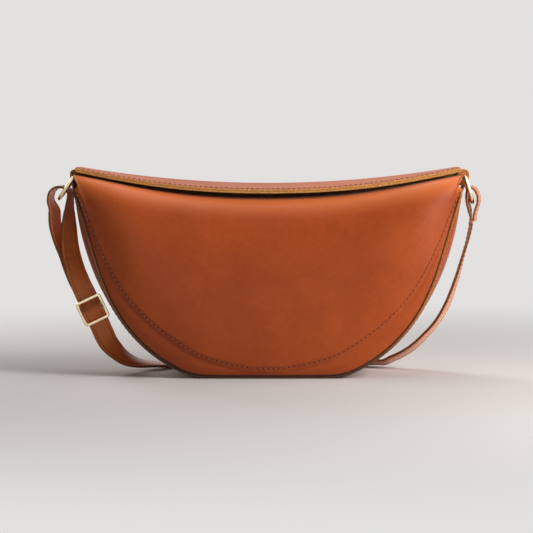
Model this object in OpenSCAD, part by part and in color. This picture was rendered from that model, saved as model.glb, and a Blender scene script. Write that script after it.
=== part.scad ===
// Half moon shoulder bag in vegetable-tanned leather.
// The bag stands on its base: X runs along it, Y to the back, Z up from the floor.

/* [Leather] */
// Thickness of the leather of the body, the panels and the flap
leather_t = 1.8; // [1.4:0.1:2.2]
// Thickness of the second layer under the flap and of the facing and pocket
facing_t = 1.4; // [1:0.1:1.8]

/* [Body] */
// Width of the body at its widest
bag_w = 302.2; // [280:1:330]
// Height of the outline at the corners
corner_h = 157; // [145:1:170]
// Height of the half moon before the base flattens it
moon_h = 164.6; // [160:0.1:190]
// Depth of the base from seam to seam
base_d = 70; // [55:1:90]
// Depth at the corners from seam to seam
corner_d = 22; // [21:0.5:30]
// Depth by which the gusset swells past its seams
swell_d = 5.5; // [2:0.5:8]
// Height at which the gusset stops swelling
swell_h = 140; // [120:1:142]
// Height over which the base rounds up from the floor
base_round = 4; // [2:0.5:6]

/* [Seams] */
// Outer radius of the bend where a panel turns into its seam
bend_r = 3; // [2.5:0.1:4]
// Width of the turned seam allowance inside the gusset
seam_w = 7; // [5:0.5:9]
// Width by which the raw edge of the gusset stands out past the seam
edge_w = 2; // [1:0.1:2.5]
// Width of the border below the front panel, at the middle of the base
border_w = 2; // [2:0.1:5]
// Width of the border beside the front panel, at its lower corners
border_corner_w = 14; // [4:0.5:18]
// Width of the border beside the front panel, at its upper ends
border_end_w = 0.8; // [0.6:0.1:2]
// Width by which the front panel laps over the border
lap_w = 10; // [6:0.5:14]

/* [Front] */
// Width of the gap at each end between the top edge and the widest part of the body
corner_inset_w = 3.9; // [3:0.1:8]
// Height of the gap between the closed flap and the front panel's hem
mouth_gap_h = 5.15; // [3:0.05:10]
// Height by which the hem stays below the corners at its ends
hem_end_drop_h = 4.8; // [4:0.1:8]
// Depth of the roll over the top of the front panel
roll_d = 31; // [20:1:40]

/* [Back and flap] */
// Height of the folded top edge of the back at the middle
fold_top_h = 149.2; // [140:0.1:156]
// Height of the fold above the corners at its ends
fold_end_h = 5.2; // [4.6:0.1:8]
// Outer radius of the fold
fold_r = 5; // [4:0.5:8]
// Place of the fold behind the middle plane, at the middle of the bag
fold_y = 22; // [14:0.5:30]
// Place of the flap's cut edge in front of the middle plane
flap_y = 15; // [10:0.5:20]
// Height by which the flap falls from the fold to its cut edge, at the middle
flap_fall_h = 4; // [1:0.1:5]
// The same fall at the ends
flap_end_fall_h = 0.2; // [0:0.1:0.6]
// Width of the soft strip of the flap beside the fold
hinge_strip_w = 5; // [4:0.5:8]

/* [Closure] */
// Diameter of each disc magnet
magnet_d = 12; // [8:1:14]
// Thickness of each disc magnet
magnet_t = 1.6; // [1:0.1:2]

/* [Pocket and base] */
// Width of the slip pocket as an angle of the half moon
pocket_angle = 66; // [40:1:80]
// Length of the base insert
insert_w = 84; // [40:1:96]
// Thickness of the base insert
insert_t = 2; // [1:0.1:3]

/* [Rings and tabs] */
// Diameter of the brass wire of the rings
wire_d = 2.8; // [2:0.1:3.2]
// Clear width inside a ring
ring_w = 17; // [17:0.1:20]
// Length of a ring from its bar to the far wire, middle to middle
ring_l = 21; // [19.5:0.1:24]
// Width of the leather tab that holds a ring
tab_w = 14; // [10:0.5:15]
// Thickness of the tab leather
tab_t = 1.9; // [1.4:0.1:2]
// Height of the top of the tab above the corners
tab_rise_h = 3.3; // [2:0.1:3.6]
// Width between the end of the flap and the left ring's bar
bar_left_w = 3.6; // [3.5:0.1:5]
// Width between the end of the flap and the right ring's bar
bar_right_w = 6; // [3.6:0.1:7]
// Angle of the left ring below the horizontal
hang_left = 55; // [45:1:62]
// Angle of the right ring below the horizontal
hang_right = 72; // [60:1:80]

/* [Strap] */
// Width of the strap
strap_w = 16; // [12:0.5:16]
// Thickness of the strap, two layers sewn together
strap_t = 2.4; // [1.8:0.1:2.6]
// Spacing of the runs that are put away behind the bag
run_gap = 9; // [8:0.5:9.5]
// Place of the first of these runs behind the middle plane
run_y = 50; // [46:1:60]
// How far these runs reach back from there
run_l = 55; // [30:1:90]
// How many runs there are
runs = 10; // [6:2:10]

/* [Slider] */
// Width of the slider frame across the strap
slider_w = 21.4; // [20:0.2:26]
// Height of the slider frame along the strap
slider_h = 20.6; // [19:0.2:26]
// Width of the metal of the frame as seen from the front
slider_bar_w = 2.3; // [1.6:0.1:2.6]
// Thickness of the frame
slider_t = 2; // [1.4:0.1:2.4]
// Diameter of the middle bar
slider_pin_d = 2; // [1.6:0.1:2.4]
// Angle of the slider away from upright
slider_lean = 25.5; // [20:0.5:30]
// Width of the gap between the gusset and the slider's middle bar
slider_out_w = 14.1; // [13.4:0.1:20]
// Angle of the half moon, from its base, at which the slider hangs
slider_turn = 52.8; // [48:0.1:56]

/* [Hidden] */

// Gap between layers that lie on each other
layer_gap = 0.05;
// Sizes at the corners of the body, worked out from those above
top_half_w = bag_w / 2 - corner_inset_w;
bar_left_x = top_half_w + bar_left_w;
bar_right_x = top_half_w + bar_right_w;
tab_top_h = corner_h + tab_rise_h;
flap_edge_h = fold_top_h - flap_fall_h;
hem_top_h = flap_edge_h - leather_t - facing_t - mouth_gap_h;
// Columns of the panels across the bag
columns = 44;
// Angle of the half moon at which the seams start below the corner
first_angle = 4;
// Facets of the rounds in metal
round_fn = 48;
eps = 0.01;

// Shares that shape the half moon and its depth
side_share = 0.83;
depth_share = 0.8;
dip_share = 2.2;
fold_dip_share = 2;
wide_angle = 62;
wide_share = 1.5;
narrow_share = 2.5;
spread_share = 1.25;

// Helpers for points and for grids of points
function skew(c, p) = sign(c) * pow(abs(c), p);
function unit(v) = v / norm(v);
function mix(a, b, t) = a + (b - a) * t;
function flatten(rows) = [for (row = rows) for (p = row) p];
function bezier(c, t) = let (s = 1 - t)
    s * s * s * c[0] + 3 * s * s * t * c[1] + 3 * s * t * t * c[2] + t * t * t * c[3];
function bezier_slope(c, t) = let (s = 1 - t)
    s * s * (c[1] - c[0]) + 2 * s * t * (c[2] - c[1]) + t * t * (c[3] - c[2]);

// Both walls of a sheet and the strips that close its four edges
module sheet(outer, inner, turned = false) {
    rows = len(outer);
    cols = len(outer[0]);
    n = rows * cols;
    function at(r, c) = r * cols + c;
    skin = [for (r = [0:rows - 2]) for (c = [0:cols - 2])
        each [[at(r, c), at(r, c + 1), at(r + 1, c + 1)], [at(r, c), at(r + 1, c + 1), at(r + 1, c)]]];
    far = [for (f = skin) [f[2] + n, f[1] + n, f[0] + n]];
    rim = concat(
        [for (c = [0:cols - 2]) [at(0, c), at(0, c + 1)]],
        [for (r = [0:rows - 2]) [at(r, cols - 1), at(r + 1, cols - 1)]],
        [for (c = [cols - 1:-1:1]) [at(rows - 1, c), at(rows - 1, c - 1)]],
        [for (r = [rows - 1:-1:1]) [at(r, 0), at(r - 1, 0)]]);
    walls = [for (e = rim) each [[e[1], e[0], e[0] + n], [e[1], e[0] + n, e[1] + n]]];
    faces = concat(skin, far, walls);
    polyhedron(concat(flatten(outer), flatten(inner)),
        turned ? [for (f = faces) [f[2], f[1], f[0]]] : faces, convexity = 8);
}

// The half moon: angle 0 is the corner at +X, 90 the base and 180 the corner at -X
function floor_round(z) = z <= -base_round ? 0 : z >= base_round ? z
    : (z + base_round) * (z + base_round) / (4 * base_round);
function moon(a) = [bag_w / 2 * skew(cos(a), side_share), floor_round(corner_h - moon_h * sin(a))];
function moon_in(a) = let (d = moon(a + 0.5) - moon(a - 0.5)) unit([d[1], -d[0]]);
function half_d(a) = (corner_d + (base_d - corner_d) * pow(sin(a), depth_share)) / 2;
function swell(a) = let (h = min(1, moon(a)[1] / swell_h)) swell_d * sin(180 * h * h);
angles = [for (i = [0:columns]) first_angle + (180 - 2 * first_angle) * i / columns];

// A point of the gusset at distance y from the middle plane and depth d under its skin
function gusset_drop(a, y) = let (v = y / (half_d(a) + edge_w)) swell(a) * v * v;
function gusset_point(a, y, d) = let (p = moon(a) + moon_in(a) * (gusset_drop(a, y) + d)) [p[0], y, p[1]];
function allowance(a) = min(seam_w, half_d(a) - tab_w / 2 - edge_w / 2);

// The turned edge of a panel: side is -1 at the front and 1 at the back
seam_lean = 14;
bend_steps = 4;
function flange_slope(a) = atan(2 * swell(a) * half_d(a) / pow(half_d(a) + edge_w, 2));
function seam_point(a, side, d, f) = let (p = moon(a) + moon_in(a) * d) [p[0], side * f, p[1]];
function bend_point(a, side, r, turn) = let (lean = flange_slope(a),
    d0 = gusset_drop(a, half_d(a)) + leather_t + layer_gap,
    angle = mix(lean, 90 - seam_lean, turn))
    seam_point(a, side, d0 + bend_r * cos(lean) - r * cos(angle),
        half_d(a) - bend_r * sin(lean) + r * sin(angle));
function flange_point(a, side, d) = let (y = half_d(a) - allowance(a))
    seam_point(a, side, gusset_drop(a, y) + leather_t + layer_gap + d, y);

// The front face as one curve for each angle, from the hem over the roll to the bend
face_share = 0.36;
function top_x(a) = top_half_w * skew(cos(a) / cos(first_angle), spread_share);
function top_share(x, p) = pow(abs(x) / top_half_w, p);
hem_y = 1;
hem_corner_y = -8.8;
hem_fall_h = 0.6;
roll_rise_share = 0.32;
function face_curve(a) = let (x = top_x(a), u = top_share(x, dip_share),
    hem = [x, mix(hem_y, hem_corner_y, u), mix(hem_top_h - hem_fall_h, corner_h - hem_end_drop_h, u)],
    low = bend_point(a, -1, bend_r, 1), reach = norm(hem - low) * face_share,
    n = moon_in(a), roll = min(roll_d, reach))
    [hem, hem + [0, -roll, roll * roll_rise_share],
        low + reach * [n[0] * cos(seam_lean), -sin(seam_lean), n[1] * cos(seam_lean)], low];
face_curves = [for (a = angles) face_curve(a)];

// The back face from the fold down to its bend
function fold_h(x) = mix(fold_top_h, corner_h + fold_end_h, top_share(x, fold_dip_share));
back_corner_y = 12;
function back_curve(a) = let (x = top_x(a), u = top_share(x, dip_share),
    top = [x, mix(fold_y, back_corner_y, u), fold_h(x) - fold_r],
    low = bend_point(a, 1, bend_r, 1), reach = norm(top - low) * face_share, n = moon_in(a))
    [top, top - [0, 0, reach],
        low + reach * [n[0] * cos(seam_lean), sin(seam_lean), n[1] * cos(seam_lean)], low];
back_curves = [for (a = angles) back_curve(a)];

// Outward unit normals of a face at column i, side -1 for the front and 1 for the back
function face_normal(curves, i, t, side) = let (lo = max(i - 1, 0), hi = min(i + 1, len(curves) - 1),
    across = bezier(curves[hi], t) - bezier(curves[lo], t),
    n = unit(cross(across, bezier_slope(curves[i], t)))) -side * n;
function face_point(curves, i, t, side, d) = bezier(curves[i], t) + d * face_normal(curves, i, t, side);

// Parameter of a face curve at a distance from its lower end
least_share = 0.12;
least_lap_share = 0.05;
function share_up(curves, i, d) = let (c = curves[i])
    max(least_share, 1 - d / max(3 * norm(c[3] - c[2]), d));
function border_at(a) = let (b = min(a, 180 - a)) b > wide_angle
    ? mix(border_w, border_corner_w, pow(sin(90 * (90 - b) / (90 - wide_angle)), wide_share))
    : mix(border_end_w, border_corner_w,
        pow(cos(90 * (wide_angle - b) / (wide_angle - first_angle)), narrow_share));
function lap_share(i) = share_up(face_curves, i, border_at(angles[i]));
function under_share(i) = min(share_up(face_curves, i, border_at(angles[i]) + lap_w),
    lap_share(i) - least_lap_share);

// The panels and the gusset
face_rows = 11;
row_share = 1.2;
function lap_rows(i) = [under_share(i), mix(under_share(i), lap_share(i), 0.5), lap_share(i)];
function columnwise(rows) = [for (r = [0:len(rows[0]) - 1]) [for (c = [0:len(rows) - 1]) rows[c][r]]];

function panel_share(i, k) = under_share(i) * pow(k / face_rows, row_share);
function panel_column(i, d) = [
    for (t = concat([for (k = [0:face_rows - 1]) panel_share(i, k)], lap_rows(i)))
        face_point(face_curves, i, t, -1, d)];
function bend_column(a, side, r, d) = concat(
    [for (k = [bend_steps:-1:0]) bend_point(a, side, r, k / bend_steps)], [flange_point(a, side, d)]);
function border_column(i, d) = concat(
    [for (t = lap_rows(i)) face_point(face_curves, i, t, -1, -d)],
    bend_column(angles[i], -1, bend_r - d, d));
function reversed(v) = [for (k = [len(v) - 1:-1:0]) v[k]];
function back_column(i, d) = reversed(concat(
    [for (k = [0:face_rows - 1]) face_point(back_curves, i, k / face_rows, 1, -d)],
    bend_column(angles[i], 1, bend_r - d, d)));

module front_panel() {
    color("sienna") sheet(
        columnwise([for (i = [0:columns]) panel_column(i, layer_gap + leather_t)]),
        columnwise([for (i = [0:columns]) panel_column(i, layer_gap)]), true);
}

module front_border() {
    color("sienna") sheet(
        columnwise([for (i = [0:columns]) border_column(i, 0)]),
        columnwise([for (i = [0:columns]) border_column(i, leather_t)]), true);
}

module back_panel() {
    color("sienna") sheet(
        columnwise([for (i = [0:columns]) back_column(i, 0)]),
        columnwise([for (i = [0:columns]) back_column(i, leather_t)]), true);
}

function gusset_ys(a) = let (w = half_d(a), s = w - allowance(a),
    front = [w + edge_w, w, s, s / 2]) concat(-front, [0], [for (k = [3:-1:0]) front[k]]);
module gusset() {
    function column(a, d) = [for (y = gusset_ys(a)) gusset_point(a, y, d)];
    color("saddlebrown") sheet(
        columnwise([for (a = angles) column(a, 0)]),
        columnwise([for (a = angles) column(a, leather_t)]), true);
}

// The facing under the hem runs across the middle of the bag only
facing_rows = 3;
facing_inset = 7;
module front_facing() {
    cols = [facing_inset:columns - facing_inset];
    function column(i, d) = [for (k = [0:facing_rows])
        face_point(face_curves, i, panel_share(i, k), -1, -d)];
    color("peru") sheet(
        columnwise([for (i = cols) column(i, layer_gap)]),
        columnwise([for (i = cols) column(i, layer_gap + facing_t)]), true);
}

// The fold, the flap and its lining
fold_steps = 4;
flap_rows = 4;
flap_corner_y = 12;
function fold_top(i) = let (p = back_curves[i][0]) p + [0, -fold_r, fold_r];
function flap_end(i) = let (x = top_x(angles[i]))
    [x, -mix(flap_y, flap_corner_y, top_share(x, dip_share)),
        mix(flap_edge_h, corner_h + fold_end_h - flap_end_fall_h, top_share(x, dip_share))];
function strip_share(i) = hinge_strip_w / norm(fold_top(i) - flap_end(i));
function flap_point(i, s, d) = mix(fold_top(i), flap_end(i), s) - [0, 0, d];
function fold_point(i, angle, r) = back_curves[i][0] + [0, r * cos(angle) - fold_r, r * sin(angle)];
module flap_fold() {
    function column(i, d) = concat(
        [for (k = [0:fold_steps - 1]) fold_point(i, 90 * k / fold_steps, fold_r - d)],
        [flap_point(i, 0, d), flap_point(i, strip_share(i), d)]);
    color("sienna") sheet(
        columnwise([for (i = [0:columns]) column(i, 0)]),
        columnwise([for (i = [0:columns]) column(i, leather_t)]), true);
}
module flap_layer(top, bottom) {
    function column(i, d) = [for (k = [0:flap_rows])
        flap_point(i, mix(strip_share(i) + flap_gap / norm(fold_top(i) - flap_end(i)), 1, k / flap_rows), d)];
    sheet(
        columnwise([for (i = [0:columns]) column(i, top)]),
        columnwise([for (i = [0:columns]) column(i, bottom)]), true);
}
flap_gap = 0.3;
module flap_panel() { color("sienna") flap_layer(0, leather_t); }
module flap_lining() {
    color("peru") flap_layer(leather_t + layer_gap, leather_t + layer_gap + facing_t);
}

// Disc magnets, one under the flap and one behind the facing
magnet_y = -5;
roll_r = 11;
middle = columns / 2;
flap_fall = atan((flap_point(middle, 0, 0)[2] - flap_edge_h) / (fold_y - fold_r + flap_y));
module flap_magnet() {
    s = (fold_y - fold_r - magnet_y) / (fold_y - fold_r + flap_y);
    p = flap_point(middle, s, leather_t + facing_t + 3 * layer_gap);
    color("silver") translate(p) rotate([flap_fall, 0, 0])
        mirror([0, 0, 1]) cylinder(h = magnet_t, d = magnet_d, $fn = round_fn);
}
magnet_share = 0.07;
module front_magnet() {
    n = face_normal(face_curves, middle, magnet_share, -1);
    seat = magnet_d * magnet_d / (8 * roll_r);
    p = face_point(face_curves, middle, magnet_share, -1, -(facing_t + 3 * layer_gap + seat));
    color("silver") translate(p) rotate([-atan2(n[1], n[2]), 0, 0])
        mirror([0, 0, 1]) cylinder(h = magnet_t, d = magnet_d, $fn = round_fn);
}

// A patch pocket on the inside of the back, and the stiff insert on the base
pocket_cols = 12;
pocket_rows = 5;
pocket_top_share = 0.2;
pocket_low_share = 0.7;
pocket_gap = 0.3;
pocket_curves = [for (k = [0:pocket_cols])
    back_curve(mix(90 - pocket_angle / 2, 90 + pocket_angle / 2, k / pocket_cols))];
module slip_pocket() {
    function column(i, d) = [for (k = [0:pocket_rows])
        face_point(pocket_curves, i, mix(pocket_top_share, pocket_low_share, k / pocket_rows), 1, -d)];
    d = leather_t + pocket_gap;
    color("peru") sheet(
        columnwise([for (i = [0:pocket_cols]) column(i, d)]),
        columnwise([for (i = [0:pocket_cols]) column(i, d + facing_t)]));
}
insert_gap = 1;
insert_corner_r = 6;
module rounded_plate(w, h, r) {
    square([w - 2 * r, h], center = true);
    square([w, h - 2 * r], center = true);
    for (x = [-1, 1], y = [-1, 1]) translate([x * (w / 2 - r), y * (h / 2 - r)]) circle(r, $fn = round_fn);
}
module base_insert() {
    color("tan") translate([0, 0, leather_t + layer_gap]) linear_extrude(insert_t)
        rounded_plate(insert_w, base_d - 2 * (seam_w + insert_gap), insert_corner_r);
}

// Rings: local X runs from the bar to the far end of the ring, Y along the bar
ring_r = (ring_w + wire_d) / 2;
module ring() {
    rotate([90, 0, 0]) cylinder(h = 2 * ring_r, d = wire_d, center = true, $fn = round_fn);
    for (y = [-ring_r, ring_r]) translate([0, y, 0]) {
        sphere(d = wire_d, $fn = round_fn);
        rotate([0, 90, 0]) cylinder(h = ring_l - ring_r, d = wire_d, $fn = round_fn);
    }
    translate([ring_l - ring_r, 0, 0]) rotate([0, 0, -90]) rotate_extrude(angle = 180, $fn = 2 * round_fn)
        translate([ring_r, 0]) circle(d = wire_d, $fn = round_fn);
}

// The tab is a strip folded over the bar, with one leg on each face of the gusset
loop_gap = 0.7;
loop_r = wire_d / 2 + loop_gap;
loop_z = tab_top_h - tab_t - loop_r;
bar_drop_h = 1.8;
bar_z = loop_z - bar_drop_h;
knee_h = 2.6;
tab_low_angle = 8;
tab_angles = [for (k = [0:2]) mix(first_angle, tab_low_angle, k / 2)];
function leg_edge(bar_x, r, d) = concat([[bar_x + r, loop_z], [bar_x + r, loop_z - knee_h]],
    [for (a = tab_angles) moon(a) + moon_in(a) * d]);
function leg(bar_x, r1, d1, r2, d2) =
    concat(leg_edge(bar_x, r1, d1), reversed(leg_edge(bar_x, r2, d2)));
module tab(bar_x) {
    outer_r = loop_r + tab_t;
    under = leather_t + layer_gap + gusset_drop(tab_low_angle, tab_w / 2);
    rotate([90, 0, 0]) {
        translate([bar_x, loop_z, 0]) difference() {
            cylinder(h = tab_w, r = outer_r, center = true, $fn = round_fn);
            cylinder(h = tab_w + 2 * eps, r = loop_r, center = true, $fn = round_fn);
            translate([-outer_r - eps, -outer_r - eps, -tab_w / 2 - eps])
                cube([2 * (outer_r + eps), outer_r + eps, tab_w + 2 * eps]);
        }
        linear_extrude(tab_w, center = true) {
            polygon(leg(bar_x, outer_r, -layer_gap - tab_t, loop_r, -layer_gap));
            polygon(leg(bar_x, -loop_r, under, -outer_r, under + tab_t));
        }
    }
}

module tab_left() { color("chocolate") mirror([1, 0, 0]) tab(bar_left_x); }
module tab_right() { color("chocolate") tab(bar_right_x); }
module ring_left() {
    color("goldenrod") translate([-bar_left_x, 0, bar_z]) mirror([1, 0, 0]) rotate([0, hang_left, 0]) ring();
}
module ring_right() {
    color("goldenrod") translate([bar_right_x, 0, bar_z]) rotate([0, hang_right, 0]) ring();
}

// The slider: local X runs across the strap and Z along it
slider_y = -2.5;
slider_corner_r = 1.2;
slider_place = moon(90 + slider_turn) - slider_out_w * moon_in(90 + slider_turn);
slider_at_rest = [slider_place[0], slider_y, slider_place[1]];
module slider_frame() {
    w = slider_w - 2 * slider_bar_w;
    h = slider_h - 2 * slider_bar_w;
    color("goldenrod") translate(slider_at_rest) rotate([0, -slider_lean, 0]) rotate([90, 0, 0])
        linear_extrude(slider_t, center = true) difference() {
            rounded_plate(slider_w, slider_h, slider_corner_r);
            square([w, h], center = true);
        }
}
module slider_bar() {
    w = slider_w - 2 * slider_bar_w;
    color("goldenrod") translate(slider_at_rest) rotate([0, 90 - slider_lean, 0])
        cylinder(h = w, d = slider_pin_d, center = true, $fn = round_fn);
}

// The strap is one long band. Each station of its route is a middle point, the direction
// of its width and its thickness; tables give them as shares of the sizes they follow.
along = [-sin(slider_lean), 0, cos(slider_lean)];
across = [cos(slider_lean), 0, sin(slider_lean)];
upright = [0, 0, 1];
sideways = [0, 1, 0];
weave_gap = 1;
weave_half = 0.444 * slider_h;
weave_n = (slider_t + strap_t) / 2 + weave_gap;
tail_n = weave_n + strap_t + weave_gap;
floor_gap = 0.3;
function at_slider(s, n, t = strap_t) = [slider_at_rest + s * along + [0, n, 0], across, t];
function at_ring(bar, dir, hang, uv) = [bar + ring_l * (uv[0] * [dir * cos(hang), 0, -sin(hang)]
    + uv[1] * [dir * sin(hang), 0, cos(hang)]), sideways, strap_t];
function at_body(row) = [[row[0] * bag_w / 2, row[1] * base_d,
    max(row[2] * corner_h, strap_t / 2 + floor_gap)], [row[3], row[4], row[5]], strap_t];

hook_t = 0.8;
hook_gap = 0.1;
hook_r = slider_pin_d / 2 + hook_gap + hook_t / 2;
hook = [for (k = [0:10]) let (turn = 390 - 30 * k) at_slider(hook_r * cos(turn), hook_r * sin(turn), hook_t)];
rise_shares = [[0.049, 0.245, 0.1], [0.107, 0.356, 0.3], [0.175, 0.53, 0.7],
    [0.267, 0.758, 1], [0.437, 0.955, 1], [0.777, 1, 1]];
rise = [for (r = rise_shares) at_slider(r[0] * slider_h, r[1] * tail_n, mix(hook_t, strap_t, r[2]))];
tail_shares = [[-1.01, 0.05, 0.519, 0.75, 0.6, 0.3], [-1.045, 0.043, 0.599, 0.6, 0.78, 0.2],
    [-1.081, 0.021, 0.679, 0.5, 0.85, 0.1], [-1.102, 0.007, 0.752, 0.45, 0.89, 0],
    [-1.105, 0, 0.818, 0.43, 0.9, 0]];
left_turn_shares = [[1.167, 0.286], [0.881, 0.371], [0.638, 0.248], [0.524, 0],
    [0.581, -0.2], [0.762, -0.324]];
front_run_shares = [[-1.026, -0.014, 0.818, 0.35, 0.94, 0], [-1.028, -0.029, 0.724, 0.65, 0.76, 0],
    [-1.021, -0.043, 0.625, 0.75, 0.62, 0.15], [-0.993, -0.043, 0.515, 0.8, 0.5, 0.3]];
entry_share = 0.714;
weave_steps = 12;
weave = [for (k = [0:weave_steps]) let (s = 1 - 2 * k / weave_steps)
    at_slider(s * weave_half, -weave_n * cos(180 * s))];
drop_shares = [[-0.85, 0, 0.199, 0.86, 0.2, 0.42], [-0.829, 0.043, 0.157, 0.74, 0.48, 0.46],
    [-0.797, 0.1, 0.1185, 0.5, 0.72, 0.48], [-0.752, 0.186, 0.078, 0.27, 0.87, 0.4],
    [-0.704, 0.286, 0.0535, 0.11, 0.96, 0.24], [-0.6585, 0.379, 0.038, 0.03, 0.99, 0.1],
    [-0.612, 0.471, 0.028, 0, 1, 0.03], [-0.569, 0.55, 0.0205, 0, 1, 0],
    [-0.536, 0.607, 0.0155, 0, 1, 0], [-0.51, 0.65, 0.0125, 0, 1, 0]];

// The spare length stands on its edge behind the bag in runs that go back and forth
turn_steps = 4;
turn_r = run_gap / 2;
far_y = run_y + run_l;
function run_x(k) = (k - (runs - 1) / 2) * run_gap;
function on_edge(x, y) = [[x, y, strap_w / 2], upright, strap_t];
function twisted(x, y, turn) = [[x, y, strap_w / 2 * sin(turn) + (strap_t / 2 + floor_gap) * cos(turn)],
    [0, cos(turn), sin(turn)], strap_t];
function u_turn(x, y, dir) = [for (k = [0:turn_steps]) let (a = 180 - 180 * k / turn_steps)
    on_edge(x + turn_r * (1 + cos(a)), y + dir * turn_r * (sin(a) - 1))];
function quarter(x, dir) = [for (k = [0:2]) let (a = 45 * k)
    on_edge(x + dir * turn_r * (1 - sin(a)), run_y + turn_r * (1 - cos(a)))];
right_run_shares = [[0.5215, 0.714, 0.0255, 0, 0.96, -0.28], [0.5685, 0.671, 0.028, 0, 0.96, -0.28],
    [0.6148, 0.629, 0.031, 0.05, 0.95, -0.28], [0.6638, 0.571, 0.0535, 0.15, 0.94, -0.3],
    [0.7406, 0.471, 0.0987, 0.3, 0.93, -0.2], [0.8319, 0.357, 0.1847, 0.34, 0.94, -0.1],
    [0.8968, 0.257, 0.2694, 0.34, 0.94, 0], [0.9378, 0.171, 0.3535, 0.3, 0.95, 0],
    [0.9669, 0.114, 0.4357, 0.24, 0.97, 0], [0.9907, 0.057, 0.5178, 0.18, 0.98, 0],
    [1.0119, 0.014, 0.5987, 0.12, 0.99, 0], [1.0344, 0, 0.679, 0.05, 1, 0],
    [1.049, 0, 0.7586, 0, 1, 0]];
drop = [for (r = drop_shares) at_body(r)];
right_run = [for (r = right_run_shares) at_body(r)];
store_start = [run_x(0) - turn_r, run_y];
store_end = [run_x(runs - 1) + turn_r, run_y];
twist_in_shares = [[0.3, 0.6, 20], [0.6, 0.9, 50], [0.85, 1, 78]];
twist_out_shares = [[0.2, 0.2, 78], [0.45, 0.8, 50], [0.75, 0.8, 20]];
function twist_in(r) = let (from = drop[len(drop) - 1][0])
    twisted(mix(from[0], store_start[0], r[0]), mix(from[1], store_start[1], r[1]), r[2]);
function twist_out(r) = twisted(mix(store_end[0], right_run[0][0][0], r[0]), run_y + r[1] * turn_r, r[2]);
left_quarter = quarter(run_x(0), -1);
right_quarter = quarter(run_x(runs - 1), 1);
store = concat([for (r = twist_in_shares) twist_in(r)], left_quarter,
    [for (k = [0:runs - 2]) each u_turn(run_x(k), k % 2 == 0 ? far_y : run_y, k % 2 == 0 ? 1 : -1)],
    reversed(right_quarter), [for (r = twist_out_shares) twist_out(r)]);
right_turn_shares = [[1.248, -0.19], [0.876, -0.155], [0.62, -0.07], [0.445, 0.076], [0.543, 0.219],
    [0.81, 0.283], [1.071, 0.21], [1.31, 0.043], [1.476, -0.062], [1.686, -0.148]];

left_bar = [-bar_left_x, 0, bar_z];
right_bar = [bar_right_x, 0, bar_z];
pieces = [
    concat(hook, rise, [for (r = tail_shares) at_body(r)]),
    [for (uv = left_turn_shares) at_ring(left_bar, -1, hang_left, uv)],
    concat([for (r = front_run_shares) at_body(r)], [at_slider(entry_share * slider_h, weave_n)]),
    weave, drop, store, right_run,
    [for (uv = right_turn_shares) at_ring(right_bar, 1, hang_right, uv)]];
strap = flatten(pieces);
counts = [for (k = 0, n = 0; k <= len(pieces); n = n + (k < len(pieces) ? len(pieces[k]) : 0), k = k + 1) n];

// Smooth stations between the given ones, and the band through them
function heading(i) = let (n = len(strap) - 1, a = strap[max(i - 1, 0)][0], b = strap[i][0],
    c = strap[min(i + 1, n)][0]) i == 0 ? unit(c - b) : i == n ? unit(b - a)
    : unit(unit(b - a) * norm(c - b) + unit(c - b) * norm(b - a));
function station(i, t) = let (a = strap[i], b = strap[i + 1], l = norm(b[0] - a[0]),
    m = l * heading(i), n = l * heading(i + 1), c = [a[0], a[0] + m / 3, b[0] - n / 3, b[0]])
    [bezier(c, t), unit(bezier_slope(c, t)), mix(a[1], b[1], t), mix(a[2], b[2], t)];
function ring_of(s) = let (h = unit(s[2] - (s[2] * s[1]) * s[1]) * strap_w / 2,
    b = cross(s[1], unit(h)) * s[3] / 2) [s[0] - h - b, s[0] + h - b, s[0] + h + b, s[0] - h + b];
module band(from, to, steps) {
    rings = [for (i = [from:to - 1]) for (k = [0:steps - 1]) ring_of(station(i, k / steps)),
        ring_of(station(to - 1, 1))];
    n = len(rings) - 1;
    side = [for (r = [0:n - 1]) for (k = [0:3]) let (a = 4 * r + k, b = 4 * r + (k + 1) % 4)
        each [[b, a, b + 4], [b + 4, a, a + 4]]];
    polyhedron(flatten(rings), concat(side, [[0, 1, 2], [0, 2, 3], [4 * n + 1, 4 * n, 4 * n + 2],
        [4 * n + 2, 4 * n, 4 * n + 3]]), convexity = 10);
}
module strap_tail() { color("sienna") band(0, counts[1] - 1, 2); }
module strap_ring_turn() { color("sienna") band(counts[1] - 1, counts[2], 3); }
module strap_front_run() { color("sienna") band(counts[2], counts[3], 3); }
module strap_weave() { color("sienna") band(counts[3], counts[4] - 1, 1); }
module strap_drop() { color("sienna") band(counts[4] - 1, counts[5] - 1, 3); }
module strap_store() { color("sienna") band(counts[5] - 1, counts[6], 2); }
module strap_right_run() { color("rosybrown") band(counts[6], counts[7] - 1, 3); }
module strap_right_turn() { color("rosybrown") band(counts[7] - 1, counts[8] - 1, 3); }

front_panel();
front_border();
front_facing();
gusset();
back_panel();
flap_fold();
flap_panel();
flap_lining();
front_magnet();
flap_magnet();
slip_pocket();
base_insert();
tab_left();
tab_right();
ring_left();
ring_right();
strap_tail();
strap_ring_turn();
strap_front_run();
strap_weave();
strap_drop();
strap_store();
strap_right_run();
strap_right_turn();
slider_frame();
slider_bar();
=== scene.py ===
import math

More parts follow.
